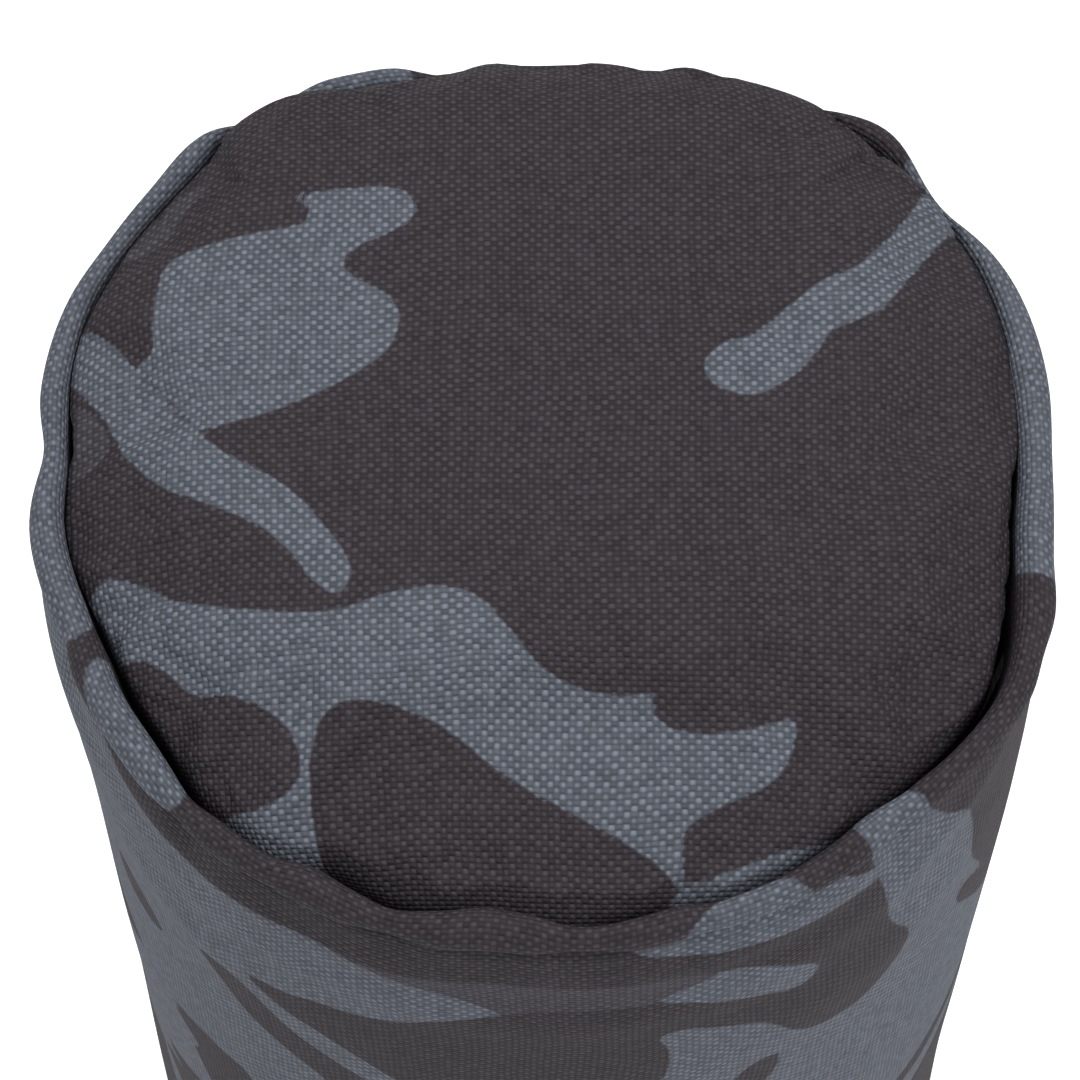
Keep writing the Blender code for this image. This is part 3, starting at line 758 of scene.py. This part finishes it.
def woven_tape(name, colour, spacing):
    """Plain-woven tape whose threads follow x and z, with painted highlight on the raised threads
    and painted shade between them.
    """
    g = Graph(name)
    split = g.node("ShaderNodeSeparateXYZ")
    g.feed(split.inputs[0], g.node("ShaderNodeTexCoord").outputs["Object"])
    across = g.math("MULTIPLY", split.outputs[0], 1000 / spacing)
    along = g.math("MULTIPLY", split.outputs[2], 1000 / spacing)
    height, _, column, row = plain_weave(g, across, along)
    crossing = g.white_noise(g.vector(column, row, 0.3))
    # Painted highlight on the raised threads and painted shade between them
    tone = g.math("MULTIPLY", height, g.math("MULTIPLY_ADD", crossing, 0.5, 0.5))
    low = tuple(c * 0.5 for c in colour) + (1,)
    high = tuple(c * 2.0 for c in colour) + (1,)
    g.feed(g.shader.inputs["Base Color"], g.mix(tone, low, high))
    g.feed(g.shader.inputs["Roughness"], g.math("MULTIPLY_ADD", height, -0.15, 0.88))
    g.set(Specular_IOR_Level=0.2)
    g.bump(height, 0.0001)
    return g.material


def webbing_cloth():
    """Polyester webbing: its threads are coloured by the strip's own coordinates, with painted
    highlight on the raised ribs and picks and painted shade in the grooves between them.
    """
    g = Graph("webbing")
    _, strip = g.attribute("weave")
    across = g.math("DIVIDE", strip[0], WEB_RIB / 3)
    along = g.math("DIVIDE", strip[1], WEB_PICK)
    fibre = g.white_noise(g.vector(g.math("FLOOR", across), g.math("FLOOR", along), 0.9))
    relief = strip[2]
    # Painted highlight on the raised ribs, painted shade in the grooves
    tone = g.math("MULTIPLY", g.ramp(relief, 0.1, 1.0), g.math("MULTIPLY_ADD", fibre, 0.5, 0.5))
    colour = g.mix(tone, (0.010, 0.010, 0.012, 1), (0.060, 0.058, 0.066, 1))
    g.feed(g.shader.inputs["Base Color"], colour)
    g.feed(g.shader.inputs["Roughness"], g.math("MULTIPLY_ADD", fibre, 0.15, 0.6))
    g.set(Specular_IOR_Level=0.35)
    g.bump(g.math("ADD", g.math("MULTIPLY", fibre, 0.5), relief), 0.00006)
    return g.material


# Webbing tab, its stitching and the ring

WEB_WIDTH = 25.0
WEB = 1.3
WEB_RIB = 1.15
WEB_PICK = 0.95
RING_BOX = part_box("d_ring")
WEB_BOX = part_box("anchor_webbing")
WIRE = 1.75
BAR_HEIGHT = RING_BOX[1].z / MM - WIRE
BAR_DEPTH = RING_BOX[1].y / MM - WIRE
WEB_TOP = WEB_BOX[1].z / MM
LOOP = WIRE + 0.3 + 0.7
INNER_PLY = BAR_DEPTH - LOOP
OUTER_PLY = INNER_PLY + 1.6
SEWN_FROM = BAR_HEIGHT + 9


def strip_path():
    """Middle of the folded strip in (y, z), every half millimetre."""
    path = [(INNER_PLY, z) for z in np.arange(WEB_TOP, BAR_HEIGHT, -1.0)]
    for degrees in range(180, 406, 9):
        a = math.radians(degrees)
        path.append((BAR_DEPTH + LOOP * math.cos(a), BAR_HEIGHT + LOOP * math.sin(a)))
    leave = np.array(path[-1])
    first, second = leave + (-1.55, 1.55), np.array((OUTER_PLY, SEWN_FROM - 3))
    last = np.array((OUTER_PLY, SEWN_FROM))
    for t in np.linspace(0.1, 1, 10):
        u = 1 - t
        point = u ** 3 * leave + 3 * u * u * t * first + 3 * u * t * t * second + t ** 3 * last
        path.append(tuple(point))
    path += [(OUTER_PLY, z) for z in np.arange(SEWN_FROM + 1, WEB_TOP, 1.0)]
    path.append((OUTER_PLY, WEB_TOP))
    path = np.array(path)
    length = np.concatenate(([0], np.cumsum(np.hypot(*np.diff(path, axis=0).T))))
    even = np.arange(0, length[-1], 0.45)
    return np.interp(even, length, path[:, 0]), np.interp(even, length, path[:, 1]), even


def make_tab(material):
    """The strip with rounded selvedges and raised ribs, curved to the wall where it is sewn."""
    y, z, along = strip_path()
    slope_y, slope_z = np.gradient(y), np.gradient(z)
    size = np.hypot(slope_y, slope_z)
    out_y, out_z = -slope_z / size, slope_y / size
    half = WEB_WIDTH / 2
    face = np.arange(-half + 0.3, half - 0.29, 0.4)
    edge = [(half - 0.08, 0.42), (half, 0.0), (half - 0.08, -0.42)]
    section = [(x, 1.0) for x in face] + [(x, e) for x, e in edge]
    section += [(x, -1.0) for x in face[::-1]] + [(-x, -e) for x, e in edge]
    x = np.array([p[0] for p in section])
    lift = np.array([p[1] for p in section])
    rib = np.abs(np.sin(math.pi * (x[None] + half) / WEB_RIB)) ** 0.7
    parity = np.floor((x[None] + half) / WEB_RIB) % 2
    pick = np.abs(np.sin(math.pi * (along[:, None] / WEB_PICK + 0.5 * parity))) ** 0.7
    relief = rib * (0.45 + 0.55 * pick)
    offset = lift[None] * (WEB / 2 - 0.13 + 0.16 * relief)
    share = smooth((z - BAR_HEIGHT) / (SEWN_FROM - BAR_HEIGHT))
    drop = share[:, None] * (WALL_RADIUS - np.sqrt(WALL_RADIUS ** 2 - x[None] ** 2))
    across = np.broadcast_to(x[None], relief.shape)
    points = np.stack((across, y[:, None] + out_y[:, None] * offset - drop,
                       z[:, None] + out_z[:, None] * offset), axis=-1)
    rows, columns = relief.shape
    index = np.arange(rows * columns).reshape(rows, columns)
    shifted = np.roll(index, -1, axis=1)
    quads = np.stack((index[:-1], shifted[:-1], shifted[1:], index[1:]), axis=-1)
    quads = quads.reshape(-1, 4).tolist() + [index[0, ::-1].tolist(), index[-1].tolist()]
    mesh = bpy.data.meshes.new("tab_webbing")
    mesh.from_pydata((points.reshape(-1, 3) * MM).tolist(), [], quads)
    # The relief also colours the webbing, as painted highlight on the ribs and painted shade in the
    # grooves
    strip = np.stack((across, np.broadcast_to(along[:, None], relief.shape), relief), axis=-1)
    put_vectors(mesh, "weave", strip.reshape(-1, 3))
    return finish_mesh("tab_webbing", mesh, material)


def finish_mesh(name, mesh, material):
    """Makes a piece of a closed mesh, with its faces turned out."""
    work = bmesh.new()
    work.from_mesh(mesh)
    bmesh.ops.recalc_face_normals(work, faces=work.faces)
    work.to_mesh(mesh)
    work.free()
    mesh.shade_smooth()
    mesh.materials.append(material)
    return add_object(name, mesh)


def finish_tubes(name, work, material):
    mesh = bpy.data.meshes.new(name)
    work.to_mesh(mesh)
    work.free()
    return finish_mesh(name, mesh, material)


def add_tube(work, points, radii, out, sides, closed=False):
    """A round tube through points; out is a direction that the points never run along."""
    rings = []
    count = len(points)
    for i, (point, radius) in enumerate(zip(points, radii)):
        before = points[(i - 1) % count] if closed else points[max(i - 1, 0)]
        after = points[(i + 1) % count] if closed else points[min(i + 1, count - 1)]
        side = (after - before).cross(out).normalized()
        up = side.cross(after - before).normalized()
        ring = []
        for k in range(sides):
            a = math.tau * k / sides
            spot = point + (side * math.cos(a) + up * math.sin(a)) * radius
            ring.append(work.verts.new(spot * MM))
        rings.append(ring)
    for a, b in zip(rings, rings[1:] + (rings[:1] if closed else [])):
        for k in range(sides):
            work.faces.new((a[k], a[(k + 1) % sides], b[(k + 1) % sides], b[k]))
    if not closed:
        work.faces.new(rings[0][::-1])
        work.faces.new(rings[-1])


def depth_behind(piece):
    """A function that finds a piece's outermost face at (x, z), seen from behind the bumper."""
    mesh = piece.data
    corners = [v.co.copy() for v in mesh.vertices]
    tree = BVHTree.FromPolygons(corners, [list(p.vertices) for p in mesh.polygons])

    def find(x, z):
        hit = tree.ray_cast(Vector((x, 80, z)) * MM, Vector((0, -1, 0)))[0]
        return hit.y / MM

    return find


STITCH = 2.7
STITCH_GAP = 0.45


def add_stitches(work, find, start, end, radius):
    """A row of lockstitches between two (x, z), arched over the cloth and sunk at their ends."""
    start, end = Vector(start), Vector(end)
    run = (end - start).length
    count = max(1, round(run / (STITCH + STITCH_GAP)))
    step = (end - start) / count
    for i in range(count):
        a = start + step * (i + 0.07)
        b = start + step * (i + 0.93)
        points, radii = [], []
        for t in (0, 0.08, 0.25, 0.5, 0.75, 0.92, 1):
            at = a.lerp(b, t)
            rise = math.sin(math.pi * t) ** 0.5
            out = find(at.x, at.y) - 0.45 * radius + 0.85 * radius * rise
            points.append(Vector((at.x, out, at.y)))
            radii.append(radius * (0.55 + 0.45 * rise))
        add_tube(work, points, radii, Vector((0, 1, 0)), sides=7)


def make_round_stitches(name, radius_at, height, radius, material):
    """The row of stitches at the bottom of a round seam."""
    work = bmesh.new()
    for start in np.arange(0, 359, 4.5):
        turns = start + np.linspace(0, 4.0, 6)
        radii = radius_at(turns)
        lift = np.sin(np.linspace(0, math.pi, 6)) * 0.3
        points = [Vector((r * math.sin(a), -r * math.cos(a), height + up))
                  for r, a, up in zip(radii, np.radians(turns), lift)]
        add_tube(work, points, [radius * (0.6 + up) for up in lift], Vector((0, 0, 1)), sides=7)
    return finish_tubes(name, work, material)


def make_stitching(name, find, runs, radius, material):
    work = bmesh.new()
    for start, end in runs:
        add_stitches(work, find, start, end, radius)
    return finish_tubes(name, work, material)


def make_ring(material):
    """The D-ring: one bent and welded wire, with a straight bar in the webbing's loop."""
    half = RING_BOX[1].x / MM - WIRE
    low = RING_BOX[0].z / MM + WIRE
    corner = 2.5
    reach, shoulder = half - corner, BAR_HEIGHT - corner
    outline = [(x, BAR_HEIGHT) for x in np.linspace(-reach, reach, 24)]
    for degrees in range(80, 0, -10):
        a = math.radians(degrees)
        outline.append((reach + corner * math.cos(a), shoulder + corner * math.sin(a)))
    for i in range(61):
        a = math.pi * i / 60
        outline.append((half * math.cos(a), shoulder - (shoulder - low) * math.sin(a)))
    for degrees in range(10, 90, 10):
        a = math.radians(degrees)
        outline.append((-reach - corner * math.cos(a), shoulder + corner * math.sin(a)))
    points = [Vector((x, BAR_DEPTH, z)) for x, z in outline]
    radii = [WIRE + 0.14 * math.exp(-((x / 0.9) ** 2)) * (z > shoulder) for x, z in outline]
    work = bmesh.new()
    add_tube(work, points, radii, Vector((0, 1, 0)), sides=20, closed=True)
    return finish_tubes("ring_wire", work, material)


# Camera, floor and light

CAMERA_LENS = 130.0
CAMERA_TILT = 62.0
CAMERA_DISTANCE = 7.46 * EDGE_RADIUS
CAMERA_DROP = 0.165 * EDGE_RADIUS
CAMERA_SIDE = -0.0094 * EDGE_RADIUS
CAMERA_ROLL = -0.5


def make_camera():
    tilt = math.radians(CAMERA_TILT)
    back = Vector((0, -math.cos(tilt), math.sin(tilt)))
    up = Vector((0, math.sin(tilt), math.cos(tilt)))
    place = Vector((CAMERA_SIDE, 0, TOP_EDGE)) + back * CAMERA_DISTANCE - up * CAMERA_DROP
    data = bpy.data.cameras.new("camera")
    data.lens = CAMERA_LENS
    data.sensor_width = 36.0
    data.clip_start = 0.01
    camera = add_object("camera", data)
    camera.location = place * MM
    camera.rotation_euler = (math.radians(90 - CAMERA_TILT), 0, 0)
    camera.rotation_euler.rotate_axis("Z", math.radians(CAMERA_ROLL))
    bpy.context.scene.camera = camera


def area_light(name, place, size, power):
    """A soft lamp turned towards the upper half of the bumper."""
    data = bpy.data.lights.new(name, "AREA")
    data.size = size
    data.energy = power
    lamp = add_object(name, data)
    lamp.location = place
    direction = Vector((0, 0, 0.2)) - Vector(place)
    lamp.rotation_euler = direction.to_track_quat("-Z", "Y").to_euler()


def make_stage():
    world = bpy.data.worlds.new("studio")
    world.use_nodes = True
    background = world.node_tree.nodes["Background"]
    background.inputs["Color"].default_value = (0.95, 0.97, 1.0, 1)
    background.inputs["Strength"].default_value = 0.5
    bpy.context.scene.world = world
    area_light("key", (0.55, -0.35, 1.25), 0.6, 10.0)
    area_light("left", (-0.8, 0.1, 1.0), 0.7, 4.0)
    area_light("back", (-0.1, 0.8, 1.2), 0.8, 5.0)
    mesh = bpy.data.meshes.new("floor")
    work = bmesh.new()
    bmesh.ops.create_grid(work, x_segments=8, y_segments=8, size=6.0)
    work.to_mesh(mesh)
    work.free()
    floor = add_object("floor", mesh)
    floor.location.z = -0.0002
    g = Graph("floor")
    coordinates = g.node("ShaderNodeTexCoord").outputs["Object"]
    tone = g.mix(g.noise(coordinates, 3.0), (0.93, 0.93, 0.94, 1), (0.95, 0.95, 0.96, 1))
    g.feed(g.shader.inputs["Base Color"], tone)
    g.set(Roughness=0.9, Emission_Strength=0.3, Emission_Color=(1, 1, 1, 1))
    mesh.materials.append(g.material)


def dress(piece, body, slot, *nodes):
    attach(piece, body)
    if nodes:
        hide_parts(*nodes)


SWELL_LIMIT = 1.2
SWELL_PRESSURE = 9.0
SWELL_SLACK = 0.02
SWELL_STEPS = 20
HELD_BELOW = TOP_EDGE - 2.6  # the top cap's rim is held below this height


def give_thickness(piece):
    """Makes a sheet as thick as the cloth, inwards from its outside."""
    solid = piece.modifiers.new("cloth", "SOLIDIFY")
    solid.thickness = CLOTH * MM
    solid.offset = -1.0
    solid.use_even_offset = False


def swell(piece, held, limit):
    """Cloth simulation: the filling presses the cap out from inside while its rim is held."""
    rest = np.empty(3 * len(piece.data.vertices))
    piece.data.vertices.foreach_get("co", rest)
    group = piece.vertex_groups.new(name="held")
    group.add(held, 1.0, "REPLACE")
    modifier = piece.modifiers.new("swelling", "CLOTH")
    cloth = modifier.settings
    cloth.mass = 0.01
    cloth.tension_stiffness = cloth.compression_stiffness = 6.0
    cloth.shear_stiffness = 2.0
    cloth.bending_stiffness = 0.05
    cloth.shrink_min = -SWELL_SLACK
    cloth.use_pressure = True
    cloth.uniform_pressure_force = SWELL_PRESSURE
    cloth.vertex_group_mass = "held"
    cloth.effector_weights.gravity = 0.0
    scene = bpy.context.scene
    scene.frame_start, scene.frame_end = 1, SWELL_STEPS
    for step in range(1, SWELL_STEPS + 1):
        scene.frame_set(step)
    swollen = piece.evaluated_get(bpy.context.evaluated_depsgraph_get()).data
    found = np.empty_like(rest)
    swollen.vertices.foreach_get("co", found)
    move = (found - rest).reshape(-1, 3)
    length = np.maximum(np.linalg.norm(move, axis=1, keepdims=True), 1e-9)
    move = move * (limit * MM * np.tanh(length / (limit * MM)) / length)
    piece.modifiers.remove(modifier)
    piece.vertex_groups.remove(group)
    piece.data.vertices.foreach_set("co", (rest.reshape(-1, 3) + move).ravel())
    piece.data.update()
    scene.frame_set(1)


def make_cover():
    # The wall's copy has weaker painted thread highlight and shade than the cap's
    wall_cloth = camouflage_cloth("camouflage_cloth_wall", 0.8)
    cap_cloth = camouflage_cloth("camouflage_cloth_cap", 1.0)
    sleeve = make_sleeve()
    top_cap, base_cap = make_caps()
    held = [v.index for v in top_cap.data.vertices if v.co.z < HELD_BELOW * MM]
    swell(top_cap, held, SWELL_LIMIT)
    for piece, node, cloth in ((sleeve, "sleeve", wall_cloth), (top_cap, "top_cap", cap_cloth),
                               (base_cap, "base_cap", cap_cloth)):
        piece.data.materials.append(cloth)
        give_thickness(piece)
        dress(piece, "bumper", "camouflage_cloth", node)
    return sleeve


def make_anchor(thread):
    tab = make_tab(webbing_cloth())
    dress(tab, "bumper", "webbing", "anchor_webbing")
    half, low, high = WEB_WIDTH / 2 - 3, SEWN_FROM + 2, WEB_TOP - 3
    corners = ((-half, low), (half, low), (half, high), (-half, high))
    runs = list(zip(corners, corners[1:] + corners[:1]))
    runs += [(corners[0], corners[2]), (corners[1], corners[3])]
    box = make_stitching("tab_stitching", depth_behind(tab), runs, 0.33, thread)
    dress(box, "bumper", "thread", "anchor_box_stitch")
    steel = grained("ring_steel", (0.46, 0.455, 0.44), 0.3, 260, 0.00001, (1, 1, 5),
                    metallic=1.0, depth=0.1)
    dress(make_ring(steel), "ring", "ring_steel", "d_ring")


def make_seam_stitching(sleeve, thread):
    find = depth_behind(sleeve)
    for name, x in (("left", 3.5), ("right", -3.5)):
        runs = (((x, 7.0), (x, 21.5)), ((x, WEB_TOP + 2.0), (x, TOP_EDGE - 7.0)))
        row = make_stitching("side_stitches_" + name, find, runs, 0.27, thread)
        dress(row, "bumper", "thread", "side_seam_thread_" + name)


SEAM_INSET = 1.2  # the round seams' stitches lie inside the crease
SEAM_DEPTH = 9.0  # and this deep below the rolled edges


def make_round_seams(thread):
    top = make_round_stitches("top_seam_stitches", lambda a: ring_curve(a, CREASE) - SEAM_INSET,
                              TOP_EDGE - SEAM_DEPTH, 0.22, thread)
    dress(top, "bumper", "thread", "top_seam_thread")
    base = make_round_stitches("base_seam_stitches", lambda a: base_crease(a) - SEAM_INSET,
                               SEAM_DEPTH, 0.22, thread)
    dress(base, "bumper", "thread", "base_seam_thread")


def dress_inside():
    """Materials of the CAD pieces that stay: the filling and the tapes inside the seams."""
    foam = grained("foam", (0.55, 0.55, 0.53), 0.92, 700, 0.0003)
    wadding = grained("wadding", (0.80, 0.80, 0.78), 0.97, 420, 0.0006, (1, 1, 4), depth=0.12)
    tape = woven_tape("seam_tape", (0.03, 0.03, 0.032), 0.4)
    lining = woven_tape("lining_cloth", (0.045, 0.040, 0.046), 0.5)
    looks = {
        "foam_core": foam, "wadding_wrap": wadding, "top_end_pad": wadding, "base_end_pad": wadding,
        "side_seam_tape": tape, "top_seam_binding": tape, "base_seam_binding": tape,
        "anchor_backing_patch": lining,
    }
    for name, look in looks.items():
        for slot in NODES[name].material_slots:
            slot.material = look


def main():
    bpy.context.scene.view_settings.view_transform = "Standard"
    make_camera()
    make_stage()
    thread = grained("thread", (0.035, 0.033, 0.037), 0.55, 2600, 0.00004, (1, 1, 0.25),
                     depth=0.4)
    sleeve = make_cover()
    make_seam_stitching(sleeve, thread)
    make_anchor(thread)
    make_round_seams(thread)
    dress_inside()


main()
